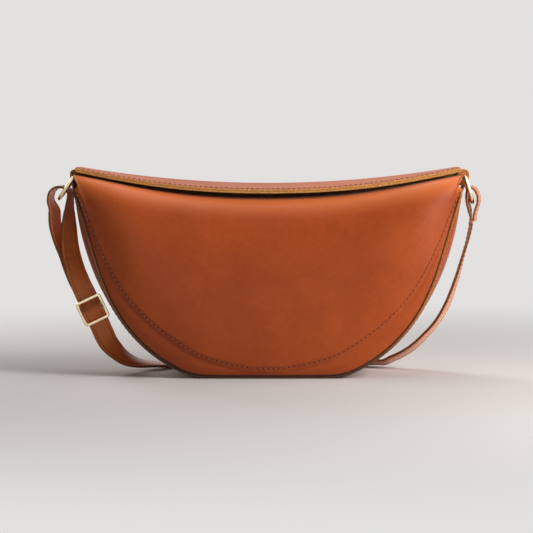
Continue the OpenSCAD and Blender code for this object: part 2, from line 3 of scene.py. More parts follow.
import bpy
import numpy as np
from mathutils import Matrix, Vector


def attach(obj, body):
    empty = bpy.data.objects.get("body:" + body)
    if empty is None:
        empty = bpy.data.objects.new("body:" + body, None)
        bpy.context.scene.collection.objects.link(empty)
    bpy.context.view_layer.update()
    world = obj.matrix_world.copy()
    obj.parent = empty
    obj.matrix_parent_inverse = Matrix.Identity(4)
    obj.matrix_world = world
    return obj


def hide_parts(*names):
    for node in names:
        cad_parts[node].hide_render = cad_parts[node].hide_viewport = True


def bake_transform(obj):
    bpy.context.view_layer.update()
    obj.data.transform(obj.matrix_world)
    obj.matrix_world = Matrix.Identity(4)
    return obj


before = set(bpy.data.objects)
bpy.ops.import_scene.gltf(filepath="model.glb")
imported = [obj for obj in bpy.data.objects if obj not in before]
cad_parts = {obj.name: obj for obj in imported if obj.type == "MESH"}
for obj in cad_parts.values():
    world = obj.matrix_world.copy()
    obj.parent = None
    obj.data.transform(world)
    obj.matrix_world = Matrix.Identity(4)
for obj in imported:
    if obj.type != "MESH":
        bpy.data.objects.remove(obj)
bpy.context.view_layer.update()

# The camera stands two metres in front of the bag and a little above it, with a long lens,
# so that the half moon is seen almost flat on.
tilt = math.radians(3.7)
looked_at = Vector((-0.0012, 0, 0.08427))
bpy.ops.object.camera_add(location=looked_at + 2.0 * Vector((0, -math.cos(tilt), math.sin(tilt))),
                          rotation=(math.pi / 2 - tilt, 0, 0))
camera = bpy.context.object
camera.data.lens = 172.7
camera.data.sensor_width = 36
bpy.context.scene.camera = camera
bpy.context.scene.view_settings.view_transform = "Standard"

# The table is a pale sheet that sweeps up behind the bag. A soft light stands close by on the right,
# a broad one in front, and a long one overhead picks out the rolled top and the flap. Two more
# stand behind, for the back and the sides.
sweep_from, sweep_rate = 1.2, 0.9


def added(name):
    bpy.context.object.name = name
    return bpy.context.object


bpy.ops.mesh.primitive_plane_add(size=6, location=(0, 0, 0))
table = added("table")
bpy.ops.object.mode_set(mode="EDIT")
bpy.ops.mesh.subdivide(number_cuts=60)
bpy.ops.object.mode_set(mode="OBJECT")
for vertex in table.data.vertices:
    past = max(0.0, vertex.co.y - sweep_from)
    vertex.co.z = sweep_rate * past * past
bpy.ops.object.shade_smooth()


def new_material(name, looks):
    made = bpy.data.materials.new(name)
    made.use_nodes = True
    skin = made.node_tree.nodes["Principled BSDF"]
    for key, value in looks.items():
        skin.inputs[key].default_value = value
    return made, made.node_tree, skin


paper_looks = {"Base Color": (0.62, 0.60, 0.59, 1), "Roughness": 0.9}
paper, paper_tree, paper_skin = new_material("pale_paper", paper_looks)
grow, join = paper_tree.nodes.new, paper_tree.links.new
ray, spot, away = grow("ShaderNodeLightPath"), grow("ShaderNodeTexCoord"), grow("ShaderNodeVectorMath")
away.operation = "LENGTH"
seen, shown = grow("ShaderNodeMath"), grow("ShaderNodeMath")
seen.use_clamp = shown.use_clamp = True
join(ray.outputs["Is Camera Ray"], seen.inputs[0])
join(ray.outputs["Is Glossy Ray"], seen.inputs[1])
join(seen.outputs[0], shown.inputs[0])
join(ray.outputs["Is Transmission Ray"], shown.inputs[1])
join(spot.outputs["Object"], away.inputs[0])
beyond, part = grow("ShaderNodeMapRange"), grow("ShaderNodeMath")
beyond.interpolation_type = "SMOOTHSTEP"
beyond.inputs["From Min"].default_value = 0.2
beyond.inputs["From Max"].default_value = 0.75
part.operation = "MULTIPLY"
join(away.outputs["Value"], beyond.inputs["Value"])
join(beyond.outputs["Result"], part.inputs[0])
join(shown.outputs[0], part.inputs[1])
glow, both = grow("ShaderNodeEmission"), grow("ShaderNodeMixShader")
glow.inputs["Color"].default_value = (0.76, 0.75, 0.74, 1)
join(part.outputs[0], both.inputs["Fac"])
join(paper_skin.outputs[0], both.inputs[1])
join(glow.outputs[0], both.inputs[2])
join(both.outputs[0], paper_tree.nodes["Material Output"].inputs["Surface"])
table.data.materials.append(paper)


def soft_light(name, place, size, height, power, colour):
    bpy.ops.object.light_add(type="AREA", location=place)
    lamp = added(name)
    lamp.data.shape = "RECTANGLE"
    lamp.data.size = size
    lamp.data.size_y = height
    lamp.data.energy = power
    lamp.data.color = colour
    lamp.rotation_euler = (looked_at - lamp.location).to_track_quat("-Z", "Y").to_euler()


soft_light("key_light", (0.72, -0.42, 0.5), 0.4, 0.5, 9.4, (1, 0.97, 0.94))
soft_light("front_light", (-0.2, -2.6, 0.55), 1.7, 1.2, 4.5, (1, 0.98, 0.95))
soft_light("top_light", (0.15, 0.05, 1.35), 1.3, 0.3, 4.5, (1, 0.97, 0.94))
soft_light("rear_light", (-0.7, 0.95, 0.55), 0.5, 0.7, 7, (1, 0.98, 0.97))
soft_light("right_light", (1.2, 0.45, 0.45), 0.5, 0.7, 2, (1, 0.98, 0.97))
world = bpy.data.worlds.new("studio")
world.use_nodes = True
grow, join = world.node_tree.nodes.new, world.node_tree.links.new
walls = world.node_tree.nodes["Background"]
walls.inputs["Color"].default_value = (0.8, 0.8, 0.82, 1)
glint, either, room = grow("ShaderNodeLightPath"), grow("ShaderNodeMath"), grow("ShaderNodeMath")
either.operation = "MAXIMUM"
room.operation = "MULTIPLY_ADD"
room.inputs[1].default_value = 0.62
room.inputs[2].default_value = 0.03
join(glint.outputs["Is Glossy Ray"], either.inputs[0])
join(glint.outputs["Is Camera Ray"], either.inputs[1])
join(either.outputs[0], room.inputs[0])
join(room.outputs[0], walls.inputs["Strength"])
bpy.context.scene.world = world

# Front panel: one half moon of tan leather. Its top is rolled over the mouth of the bag, and its
# lower edge is skived, lapped over the border and sewn down in one long arc.
# Sizes are in millimetres, and a turn is an angle of the half moon: 0 at the right corner, 90 at the base.
bag_w, corner_h, moon_h, base_d, corner_d, base_round = 302.2, 157.0, 164.6, 70.0, 22.0, 4.0
leather_t, facing_t, layer_gap = 1.8, 1.4, 0.05
corner_inset_w, edge_w, bend_r = 3.9, 2.0, 3.0
swell_d, swell_h = 5.5, 140.0
hem_y, hem_end_y, hem_h, hem_end_h = 1.0, -8.8, 136.2, 154.6
roll_d, roll_rise, roll_blend, handle_share = 31.0, 0.32, 0.3, 0.36
side_share, depth_share, dip_share, spread_share = 0.83, 0.8, 2.2, 1.25
first_turn, seam_lean = 4, math.radians(14)
top_half_w = bag_w / 2 - corner_inset_w


def mix(a, b, t):
    return a + (b - a) * t


def unit(v):
    return v / np.linalg.norm(v, axis=-1, keepdims=True)


def moon(a):
    c, s = np.cos(np.radians(a)), np.sin(np.radians(a))
    z = corner_h - moon_h * s
    z = np.where(z <= -base_round, 0, np.where(z >= base_round, z, (z + base_round) ** 2 / (4 * base_round)))
    return np.stack([bag_w / 2 * np.sign(c) * np.abs(c) ** side_share, z], -1)


def moon_in(a):
    """Direction inward from the half moon's outline, square to it."""
    d = moon(a + 0.5) - moon(a - 0.5)
    return unit(np.stack([d[..., 1], -d[..., 0]], -1))


def half_d(a):
    return (corner_d + (base_d - corner_d) * np.sin(np.radians(a)) ** depth_share) / 2


def swell(a):
    return swell_d * np.sin(np.pi * np.minimum(1, moon(a)[..., 1] / swell_h) ** 2)


def gusset_drop(a, y):
    return swell(a) * (y / (half_d(a) + edge_w)) ** 2


def at_depth(a, y, d):
    """The point at depth d inside the outline, y back from the middle of the bag."""
    p = moon(a) + moon_in(a) * np.asarray(d)[..., None]
    return np.stack([p[..., 0], y + 0 * p[..., 0], p[..., 1]], -1)


def bend_point(a, side, r, turn):
    """A point of the bend between gusset and panel: turn goes from 0 on the gusset to 1 on the panel."""
    lean = np.arctan(2 * swell(a) * half_d(a) / (half_d(a) + edge_w) ** 2)
    angle = mix(lean, math.pi / 2 - seam_lean, turn)
    y = half_d(a) - bend_r * np.sin(lean) + r * np.sin(angle)
    depth = gusset_drop(a, half_d(a)) + leather_t + layer_gap + bend_r * np.cos(lean) - r * np.cos(angle)
    return at_depth(a, side * y, depth)


def top_x(a):
    """Where a turn's curve starts along the hem, from the middle of the bag."""
    c = np.cos(np.radians(a)) / math.cos(math.radians(first_turn))
    return top_half_w * np.sign(c) * np.abs(c) ** spread_share


def from_middle(a):
    return np.abs(top_x(a)) / top_half_w


def lower_handle(a, low, reach, side):
    n = moon_in(a) * math.cos(seam_lean)
    lean = side * math.sin(seam_lean) + 0 * n[..., 0]
    return low + reach[..., None] * np.stack([n[..., 0], lean, n[..., 1]], -1)


def front_curve(a):
    u = from_middle(a) ** dip_share
    hem = np.stack([top_x(a), mix(hem_y, hem_end_y, u), mix(hem_h, hem_end_h, u)], -1)
    low = bend_point(a, -1, bend_r, 1)
    reach = np.linalg.norm(hem - low, axis=-1) * handle_share
    roll = -np.log(np.exp(-roll_blend * roll_d) + np.exp(-roll_blend * reach)) / roll_blend
    crest = hem + roll[..., None] * np.array([0, -1, roll_rise])
    return [hem, crest, lower_handle(a, low, reach, -1), low]


def bezier(c, t):
    t = np.asarray(t)[..., None]
    return (1 - t) ** 3 * c[0] + 3 * (1 - t) ** 2 * t * c[1] + 3 * (1 - t) * t ** 2 * c[2] + t ** 3 * c[3]


def slope(c, t):
    t = np.asarray(t)[..., None]
    return (1 - t) ** 2 * (c[1] - c[0]) + 2 * (1 - t) * t * (c[2] - c[1]) + t ** 2 * (c[3] - c[2])


def off_face(curve, a, t, side, d):
    """The point at share t down a panel's curve at turn a, lifted by d off its face."""
    n = -side * unit(np.cross(bezier(curve(a + 0.5), t) - bezier(curve(a - 0.5), t), slope(curve(a), t)))
    return bezier(curve(a), t) + n * np.asarray(d)[..., None]


def place_points(piece, points):
    piece.data.vertices.foreach_set("co", (np.array(points) / 1000).astype(np.float32).ravel())
    piece.data.update()


def face_outwards():
    bpy.ops.object.mode_set(mode="EDIT")
    bpy.ops.mesh.select_all(action="SELECT")
    bpy.ops.mesh.normals_make_consistent(inside=False)
    bpy.ops.object.mode_set(mode="OBJECT")


def wear_edges(piece, edge_round, segments, angle):
    """Rounds the edges of the active piece that are sharper than the angle."""
    worn = piece.modifiers.new("worn", "BEVEL")
    worn.width = edge_round / 1000
    worn.segments = segments
    worn.limit_method = "ANGLE"
    worn.angle_limit = math.radians(angle)
    bpy.ops.object.modifier_apply(modifier="worn")
    bpy.ops.object.shade_smooth_by_angle(angle=math.radians(40))


def leather_sheet(name, rows, thickness, face, edge, back, edge_round=0.3, painted_shade=None, painted_highlight=None):
    """A sheet of leather: rows of points on its grain side, and where painted shade darkens it or a painted
    highlight lightens it.
    """
    down, along = len(rows), len(rows[0])
    bpy.ops.mesh.primitive_grid_add(x_subdivisions=along - 1, y_subdivisions=down - 1, size=1)
    piece = added(name)
    place_points(piece, rows)
    for painted_as, values in (("painted_shade", painted_shade), ("painted_highlight", painted_highlight)):
        if values is not None:
            painted = piece.data.attributes.new(painted_as, "FLOAT", "POINT")
            painted.data.foreach_set("value", np.clip(np.array(values), 0, 1).astype(np.float32).ravel())
    for material in (face, edge, back):
        piece.data.materials.append(material)
    wall = piece.modifiers.new("wall", "SOLIDIFY")
    wall.thickness = thickness / 1000
    wall.offset = -1
    wall.use_even_offset = False
    wall.material_offset = 2
    wall.material_offset_rim = 1
    bpy.ops.object.modifier_apply(modifier="wall")
    wear_edges(piece, edge_round, 2, 50)
    return piece


def node(tree, kind, **values):
    made = tree.nodes.new(kind)
    for key, value in values.items():
        if key in made.inputs:
            made.inputs[key].default_value = value
        else:
            setattr(made, key, value)
    return made


def ramp(tree, low, dark, high, pale):
    made = node(tree, "ShaderNodeValToRGB")
    for stop, place, tone in ((0, low, dark), (1, high, pale)):
        made.color_ramp.elements[stop].position = place
        made.color_ramp.elements[stop].color = (*tone, 1)
    return made


def darken_by_painted_shade(tree, colour):
    """Painted shade that darkens a crease, an edge or the crest of the roll, read from an attribute painted
    on the piece.
    """
    shade_share = node(tree, "ShaderNodeAttribute", attribute_name="painted_shade")
    shaded_dye = node(tree, "ShaderNodeMix", data_type="RGBA")
    tree.links.new(shade_share.outputs["Fac"], shaded_dye.inputs[0])
    tree.links.new(colour, shaded_dye.inputs[6])
    shaded_dye.inputs[7].default_value = (0.016, 0.006, 0.003, 1)
    return shaded_dye.outputs[2]


def leather(name, pale, dark, roughness=0.42, grain=1.0, sheen=0.14):
    """Vegetable-tanned leather: uneven dye in two sizes of cloud, fine pores and a soft polish."""
    made, tree, skin = new_material(name, {"Specular IOR Level": 0.25, "Sheen Weight": sheen,
                                           "Sheen Roughness": 0.45, "Sheen Tint": (1, 0.86, 0.8, 1)})
    link = tree.links.new
    place = node(tree, "ShaderNodeTexCoord").outputs["Object"]
    cloud = node(tree, "ShaderNodeTexNoise", Scale=17.0, Detail=5.0, Roughness=0.6)
    fleck = node(tree, "ShaderNodeTexNoise", Scale=260.0, Detail=3.0, Roughness=0.7)
    link(place, cloud.inputs["Vector"])
    link(place, fleck.inputs["Vector"])
    both = node(tree, "ShaderNodeMix", data_type="FLOAT")
    both.inputs[0].default_value = 0.3
    link(cloud.outputs["Fac"], both.inputs[2])
    link(fleck.outputs["Fac"], both.inputs[3])
    dye = ramp(tree, 0.36, dark, 0.64, pale)
    link(both.outputs[0], dye.inputs["Fac"])
    # A painted highlight lightens the dye to a pale orange, and painted shade then darkens it, each by an
    # attribute painted on the piece.
    highlight_share = node(tree, "ShaderNodeAttribute", attribute_name="painted_highlight")
    drawn = node(tree, "ShaderNodeMix", data_type="RGBA")
    link(highlight_share.outputs["Fac"], drawn.inputs[0])
    link(dye.outputs["Color"], drawn.inputs[6])
    drawn.inputs[7].default_value = (0.72, 0.175, 0.045, 1)
    link(darken_by_painted_shade(tree, drawn.outputs[2]), skin.inputs["Base Color"])
    pores = node(tree, "ShaderNodeTexVoronoi", Scale=1100.0, feature="SMOOTH_F1")
    link(place, pores.inputs["Vector"])
    creases = node(tree, "ShaderNodeTexNoise", Scale=700.0, Detail=4.0)
    link(place, creases.inputs["Vector"])
    height = node(tree, "ShaderNodeMath", operation="ADD")
    link(pores.outputs["Distance"], height.inputs[0])
    link(creases.outputs["Fac"], height.inputs[1])
    bump = node(tree, "ShaderNodeBump", Strength=0.22 * grain, Distance=0.0002)
    link(height.outputs[0], bump.inputs["Height"])
    link(bump.outputs["Normal"], skin.inputs["Normal"])
    shine = node(tree, "ShaderNodeMapRange", **{"To Min": roughness - 0.06, "To Max": roughness + 0.08})
    link(fleck.outputs["Fac"], shine.inputs["Value"])
    link(shine.outputs["Result"], skin.inputs["Roughness"])
    return made


def cut_edge(name, pale, dark):
    """The cut side of the leather: bare fibres in thin uneven streaks, without polish."""
    made, tree, skin = new_material(name, {"Roughness": 0.75})
    link = tree.links.new
    place = node(tree, "ShaderNodeTexCoord").outputs["Object"]
    fibres = node(tree, "ShaderNodeTexNoise", Scale=900.0, Detail=6.0, Roughness=0.75)
    link(place, fibres.inputs["Vector"])
    dye = ramp(tree, 0.38, dark, 0.6, pale)
    link(fibres.outputs["Fac"], dye.inputs["Fac"])
    # Painted shade darkens the cut edge too, by the same attribute.
    link(darken_by_painted_shade(tree, dye.outputs["Color"]), skin.inputs["Base Color"])
    bump = node(tree, "ShaderNodeBump", Strength=0.5, Distance=0.0002)
    link(fibres.outputs["Fac"], bump.inputs["Height"])
    link(bump.outputs["Normal"], skin.inputs["Normal"])
    return made


tan = leather("tan_leather", (0.40, 0.070, 0.009), (0.30, 0.046, 0.005), 0.38)
tan_edge = cut_edge("tan_cut_edge", (0.56, 0.20, 0.035), (0.25, 0.075, 0.012))
suede = cut_edge("suede_back", (0.46, 0.22, 0.10), (0.34, 0.15, 0.065))

turns = np.linspace(first_turn, 180 - first_turn, 261)
from_side = np.minimum(turns, 180 - turns)
per_mm = 1 / (3 * np.linalg.norm(front_curve(turns)[3] - front_curve(turns)[2], axis=-1))


def smoothed(values, reach):
    even = np.ones(2 * reach + 1) / (2 * reach + 1)
    return np.convolve(np.pad(values, reach, mode="edge"), even, mode="valid")


# How far the seam runs inside the gusset's edge, and how far the panel's cut edge lies outside the seam.
seam_from_side = (4, 6, 8, 10, 12, 14, 16, 18, 20, 24, 28, 32, 36, 40, 45, 50, 55, 60, 65, 70, 75, 80, 85, 90)
seam_depth = (0.9, 0.9, 1.0, 1.3, 1.7, 2.2, 2.9, 3.7, 4.5, 6.0, 7.9, 9.4, 10.6, 11.9, 13.5, 14.6,
              15.3, 15.8, 15.5, 14.4, 12.4, 9.1, 5.6, 3.8)
seam_at = smoothed(np.interp(from_side, seam_from_side, seam_depth), 5)
seam_in = np.clip(0.7 * seam_at, 0.6, 2.9)
lap_at = seam_at - seam_in
lap_t = 1 - lap_at * per_mm
rim_w = np.minimum(8, 0.6 * lap_t / per_mm)
skive_w, skived_t, groove_w, groove_d, panel_t = 5.0, 0.3, 0.8, 0.28, 0.8
flat_inward = 99 + 0 * turns
panel_rows = [(share * (lap_t - rim_w * per_mm), flat_inward) for share in np.linspace(0, 1, 36)[:-1] ** 1.15]
for share in (1, 0.92, 0.84, 0.76, 0.68, 0.6, 0.54, 0.48, 0.42, 0.37, 0.32, 0.27, 0.21, 0.15, 0.1, 0.05, 0):
    panel_rows.append((lap_t - share * rim_w * per_mm, share * rim_w))


def panel_lift(inward):
    """How far the panel's face stands off the border: skived at the edge, with a groove along the seam."""
    skive = np.clip(inward / skive_w, 0, 1)
    edge_lift = skived_t + 0.5 * np.exp(-((turns - 90) / 13) ** 2)
    groove = groove_d * np.exp(-((inward - seam_in) / groove_w) ** 2)
    return layer_gap + mix(edge_lift, leather_t, skive * skive * (3 - 2 * skive)) - groove


drawn_w, drawn_y, drawn_from, drawn_over_x, drawn_over_z = 4.4, -0.6, 118.0, 28.0, 34.0


def drawn_out(points):
    """The panel's two upper corners are drawn out over the gusset's edges, in front of the tabs."""
    x, z = np.abs(points[:, 0]), points[:, 2]
    pull = (np.clip((z - drawn_from) / drawn_over_z, 0, 1) ** 2
            * np.clip((x - drawn_from) / drawn_over_x, 0, 1) ** 2)
    return points + pull[:, None] * np.stack([np.sign(points[:, 0]) * drawn_w, drawn_y + 0 * x, 0 * x], -1)


front_rows = [drawn_out(off_face(front_curve, turns, t, -1, panel_lift(inward))) for t, inward in panel_rows]
# Painted shade on the crest of the roll, as the flap's shadow, and a painted highlight on the roll just below
# the crest.
crest_z = np.max([row[:, 2] for row in front_rows], axis=0)
shade_h = mix(1.8, 0.4, from_middle(turns) ** 2)
highlight_from, highlight_h = 3.0, 15.0
roll_shade = [0.95 * np.clip(1 - (crest_z - row[:, 2]) / shade_h, 0, 1) for row in front_rows]
roll_highlight = [np.clip(1 - (crest_z - row[:, 2] - highlight_from) / highlight_h, 0, 1) ** 1.6 for row in front_rows]
front_panel = leather_sheet("front_leather", front_rows, panel_t, tan, tan_edge, suede, 0.15,
                            roll_shade, roll_highlight)
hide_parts("front_panel")
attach(front_panel, "bag")

# Border: the strip that shows beside the lower corners of the front. It lies under the panel's
# edge, bends back over a soft radius and is sewn flat inside the gusset.
border_w, border_corner_w, border_end_w, widest_turn, lap_w = 2.0, 14.0, 0.8, 62, 10.0
seam_w, tab_clear = 7.0, 8.0


def border_at(a):
    """Width of the border at a turn: widest at the lower corners, narrow under the base and at the top."""
    b = np.minimum(a, 180 - a)
    to_base, to_top = (90 - b) / (90 - widest_turn), (widest_turn - b) / (widest_turn - first_turn)
    wide = mix(border_w, border_corner_w, np.abs(np.sin(np.radians(90 * to_base))) ** 1.5)
    narrow = mix(border_end_w, border_corner_w, np.abs(np.cos(np.radians(90 * to_top))) ** 2.5)
    return np.where(b > widest_turn, wide, narrow)


def share_up(curve, a, d):
    """The share down a panel's curve that lies d above its lower end."""
    c = curve(a)
    return np.maximum(0.12, 1 - d / (3 * np.linalg.norm(c[3] - c[2], axis=-1)))


def under_lap(a):
    lapped = share_up(front_curve, a, border_at(a) + lap_w)
    return np.minimum(lapped, share_up(front_curve, a, border_at(a)) - 0.05)


border_under = np.minimum(under_lap(turns), lap_t - 0.6 * rim_w * per_mm)


def flange_point(a, side, d):
    """The end of the strip that a panel turns back and sews to the gusset."""
    y = half_d(a) - np.minimum(seam_w, half_d(a) - tab_clear)
    return at_depth(a, side * y, gusset_drop(a, y) + leather_t + layer_gap + d)


def border_bulge(share):
    """How far the strip stands up between its seam and its rim, in millimetres."""
    return 0.6 * np.sin(np.pi * share) * np.clip(lap_at / 8, 0, 1)


border_rows = []
for share in np.linspace(0, 1, 9)[:-1]:
    border_rows.append(off_face(front_curve, turns, mix(border_under, lap_t, share), -1, 0 * turns))
for share in np.linspace(0, 1, 13)[:-1]:
    border_rows.append(off_face(front_curve, turns, mix(lap_t, 1, share), -1, border_bulge(share)))
# Painted shade in the bend, darkest where it meets the gusset, and on the flange sewn inside, as the shade in
# the crease.
border_crease_shade = [0 * turns] * len(border_rows)
for turn in np.linspace(1, 0, 11):
    border_rows.append(bend_point(turns, -1, bend_r, turn))
    border_crease_shade.append(np.clip((1 - turn - 0.12) * 2.6, 0, 0.94) + 0 * turns)
border_rows.append(flange_point(turns, -1, 0))
border_crease_shade.append(0.94 + 0 * turns)
front_border = leather_sheet("front_border", border_rows, leather_t, tan, tan_edge, suede,
                             painted_shade=border_crease_shade)
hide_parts("front_border")
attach(front_border, "bag")

# Gusset: one long strip of the same leather that makes the base and both sides. Its raw edges
# stand out past the seams and show as a thin light line round the front.
base_edge_w = 0.9
stands_out = edge_w - (edge_w - base_edge_w) * np.clip((from_side - 52) / 18, 0, 1)
# Painted shade on the raw edges: darker on the left side, which faces away from the key light, and darkest
# along the base.
left_side_shade = np.where(turns > 90, 0.62, 0.0)
edge_shade = smoothed(mix(left_side_shade, 0.88, np.clip((from_side - 40) / 22, 0, 1)), 8)
gusset_rows, gusset_edge_shade = [], []
for share in (-1, -0.97, -0.94, -0.9, *np.linspace(-0.85, 0.85, 35), 0.9, 0.94, 0.97, 1):
    y = share * (half_d(turns) + stands_out)
    gusset_rows.append(at_depth(turns, y, gusset_drop(turns, y)))
    gusset_edge_shade.append(edge_shade * (1 if abs(share) == 1 else 0.35 if abs(share) == 0.97 else 0))
gusset = leather_sheet("gusset", gusset_rows, leather_t, tan, tan_edge, suede, painted_shade=gusset_edge_shade)
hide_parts("gusset")
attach(gusset, "bag")

# Back: the leather that goes on over the fold as the flap. It is bent into the gusset as the
# front is, and falls straight from the fold.
fold_h, fold_end_h, fold_y, fold_end_y, fold_r = 149.2, 162.2, 22, 12, 5


def back_curve(a):
    u = from_middle(a) ** dip_share
    top_z = mix(fold_h, fold_end_h, from_middle(a) ** 2) - fold_r
    top = np.stack([top_x(a), mix(fold_y, fold_end_y, u), top_z], -1)
    low = bend_point(a, 1, bend_r, 1)
    reach = np.linalg.norm(top - low, axis=-1) * handle_share
    return [top, top - reach[..., None] * np.array([0, 0, 1]), lower_handle(a, low, reach, 1), low]


back_rows = [off_face(back_curve, turns, share + 0 * turns, 1, 0 * turns) for share in np.linspace(0, 1, 41)]
for turn in np.linspace(1, 0, 9)[1:]:
    back_rows.append(bend_point(turns, 1, bend_r, turn))
back_rows.append(flange_point(turns, 1, 0))
back_panel = leather_sheet("back_leather", back_rows[::-1], leather_t, tan, tan_edge, suede)
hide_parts("back_panel")
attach(back_panel, "bag")

# Fold: the stretch of that leather which rounds over the back edge.
# The fold and the flap are painted paler than the tan: a painted highlight for the light that glances off the
# flap's top.
flap_highlit_tan = leather("flap_leather", (0.60, 0.18, 0.08), (0.47, 0.125, 0.052), 0.5, sheen=0.04)
flap_edge = cut_edge("flap_cut_edge", (0.80, 0.38, 0.085), (0.36, 0.145, 0.03))
flap_y, flap_end_y, flap_h, flap_end_h, flap_wider = 15, 12, 145.2, 162.0, 2.4
back_top = back_curve(turns)[0]
fold_top = back_top + np.array([0, -fold_r, fold_r])
flap_u = from_middle(turns) ** dip_share
wider = flap_wider * (top_x(turns) / top_half_w)[:, None] ** 7 * np.array([1, 0, 0])
flap_end = np.stack([top_x(turns), -mix(flap_y, flap_end_y, flap_u),
                     mix(flap_h, flap_end_h, flap_u)], -1) + wider
flap_reach = np.linalg.norm(fold_top - flap_end, axis=-1)
fold_rows = [back_top + fold_r * np.array([0, math.cos(r) - 1, math.sin(r)])
             for r in np.linspace(0, math.pi / 2, 13)]
for past_fold in (1.2, 2.5, 3.8, 5.0):
    fold_rows.append(mix(fold_top, flap_end, (past_fold / flap_reach)[:, None]))
flap_fold = leather_sheet("flap_fold", fold_rows, leather_t, flap_highlit_tan, tan_edge, suede)
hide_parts("flap_fold")
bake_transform(flap_fold)

# Flap: the free end of the same leather and a thinner lining glued and sewn under it, so that
# two raw edges show above the mouth with a dark line between them.
hinge_strip_w, glue_gap, skived_by = 5.05, 0.1, 0.3


def flap_rows(depth, crown):
    """Rows of one layer at its depth under the flap's face; its cut edge dips by the crown."""
    start = (hinge_strip_w / flap_reach)[:, None]
    made = []
    for share in np.linspace(0, 1, 17):
        sag = crown * math.exp(-((1 - share) / 0.12) ** 2)
        made.append(mix(fold_top, flap_end, mix(start, 1, share)) - np.array([0, 0, depth + sag]))
    return made


flap_panel = leather_sheet("flap_panel", flap_rows(0, 0.25), leather_t - skived_by, flap_highlit_tan, flap_edge,
                           suede, 0.25)
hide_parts("flap_panel")
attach(flap_panel, "flap")
lining_rows = flap_rows(leather_t + layer_gap + glue_gap, -0.1)
flap_lining = leather_sheet("flap_lining", lining_rows, facing_t, suede, flap_edge, tan, 0.4)
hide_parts("flap_lining")
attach(flap_lining, "flap")

# Facing: a strip of the same leather under the hem that backs the magnet. It stops short of the
# corners and reaches about a quarter of the way down.
facing_skip, facing_reach = 7 / 44, 3 / 11
facing_from = mix(first_turn, 180 - first_turn, facing_skip)
middle_turns = np.linspace(facing_from, 180 - facing_from, 121)
facing_rows = []
for share in np.linspace(0, facing_reach, 9):
    facing_rows.append(off_face(front_curve, middle_turns, under_lap(middle_turns) * share ** 1.2, -1,
                                -layer_gap + 0 * middle_turns))
front_facing = leather_sheet("front_facing", facing_rows, facing_t, suede, tan_edge, tan)
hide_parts("front_facing")
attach(front_facing, "bag")

# Slip pocket: a patch of thin leather sewn on the inside of the back along its sides and base.
pocket_depth = leather_t + 0.3 + facing_t
pocket_turns = np.linspace(57, 123, 61)
level = 0 * pocket_turns
pocket_rows = [off_face(back_curve, pocket_turns, share + level, 1, -pocket_depth + level)
               for share in np.linspace(0.2, 0.7, 25)]
slip_pocket = leather_sheet("slip_pocket", pocket_rows, facing_t, tan, tan_edge, suede)
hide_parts("slip_pocket")
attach(slip_pocket, "bag")

# Base insert: a stiff board, its corners rounded and its edges broken, that lies loose on the base.
board_size = (0.084, 0.054, 0.002)
board_z = (leather_t + layer_gap) / 1000 + board_size[2] / 2
bpy.ops.mesh.primitive_cube_add(size=1, location=(0, 0, board_z), scale=board_size)
base_insert = added("base_insert_board")
bpy.ops.object.transform_apply(location=True, rotation=True, scale=True)
uprights = base_insert.data.attributes.new("bevel_weight_edge", "FLOAT", "EDGE")
for edge in base_insert.data.edges:
    low_end, high_end = (base_insert.data.vertices[k].co for k in edge.vertices)
    uprights.data[edge.index].value = 1.0 if abs(low_end.z - high_end.z) > board_size[2] / 2 else 0.0
corners = base_insert.modifiers.new("corners", "BEVEL")
corners.width = 0.006
corners.segments = 8
corners.limit_method = "WEIGHT"
bpy.ops.object.modifier_apply(modifier="corners")
wear_edges(base_insert, 0.4, 2, 60)
base_insert.data.materials.append(cut_edge("fibre_board", (0.33, 0.20, 0.11), (0.22, 0.125, 0.065)))
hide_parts("base_insert")
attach(base_insert, "bag")

# Magnets: two plated steel discs, one behind the facing and one under the flap. The one under
# the flap is painted near black, as painted shade in the gap under the flap.
nickel_looks = {"Base Color": (0.66, 0.64, 0.6, 1), "Metallic": 1.0}
nickel, nickel_tree, nickel_skin = new_material("nickel_plate", nickel_looks)
join = nickel_tree.links.new
nickel_scuff = node(nickel_tree, "ShaderNodeTexNoise", Scale=400.0, Detail=4.0)
join(node(nickel_tree, "ShaderNodeTexCoord").outputs["Object"], nickel_scuff.inputs["Vector"])
nickel_rough = node(nickel_tree, "ShaderNodeMapRange", **{"To Min": 0.22, "To Max": 0.42})
join(nickel_scuff.outputs["Fac"], nickel_rough.inputs["Value"])
join(nickel_rough.outputs["Result"], nickel_skin.inputs["Roughness"])
magnet_painted_shade = cut_edge("magnet_painted_shade", (0.09, 0.035, 0.014), (0.05, 0.018, 0.008))


def refinish(piece, finish):
    piece.data.materials.clear()
    piece.data.materials.append(finish)


refinish(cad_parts["front_magnet"], nickel)
refinish(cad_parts["flap_magnet"], magnet_painted_shade)

